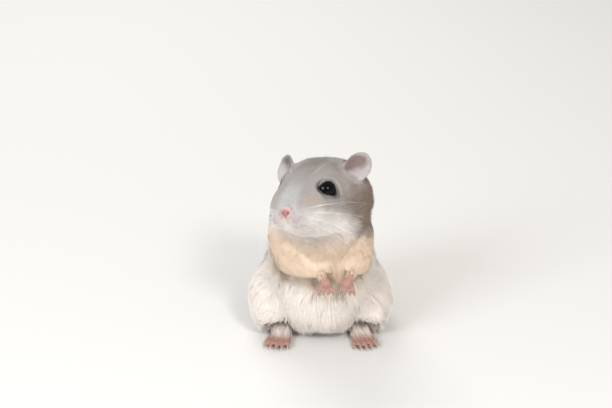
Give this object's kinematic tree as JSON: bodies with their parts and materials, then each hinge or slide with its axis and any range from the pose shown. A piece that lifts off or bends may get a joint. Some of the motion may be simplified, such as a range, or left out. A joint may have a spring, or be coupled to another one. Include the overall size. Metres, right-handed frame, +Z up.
{
  "type": "dwarf hamster",
  "caption": "Life-size dwarf hamster sitting up on its haunches, forepaws hanging together, head raised and turned to its right.",
  "frame": {"origin": "middle of the animal's box, on the floor it sits on", "axes": "+Z up; the body faces -Y, so the animal's left side is at +X"},
  "size_m": [0.0404, 0.049, 0.0542],
  "materials": {
    "grey_fur": "soft matt fur",
    "white_fur": "soft matt fur",
    "bare_skin": "thin soft skin with short down",
    "nose_skin": "moist bare skin",
    "eye": "wet black gloss"
  },
  "bodies": {
    "root": {"head": "grey_fur", "neck": "grey_fur", "trunk": "grey_fur", "tail": "grey_fur", "hindleg_left": "grey_fur", "hindleg_right": "grey_fur", "foreleg_left": "white_fur", "foreleg_right": "white_fur", "forepaw_left": "bare_skin", "forepaw_right": "bare_skin", "hindfoot_left": "bare_skin", "hindfoot_right": "bare_skin", "ear_left": "bare_skin", "ear_right": "bare_skin", "nose": "nose_skin", "eye_left": "eye", "eye_right": "eye"}
  },
  "joints": []
}
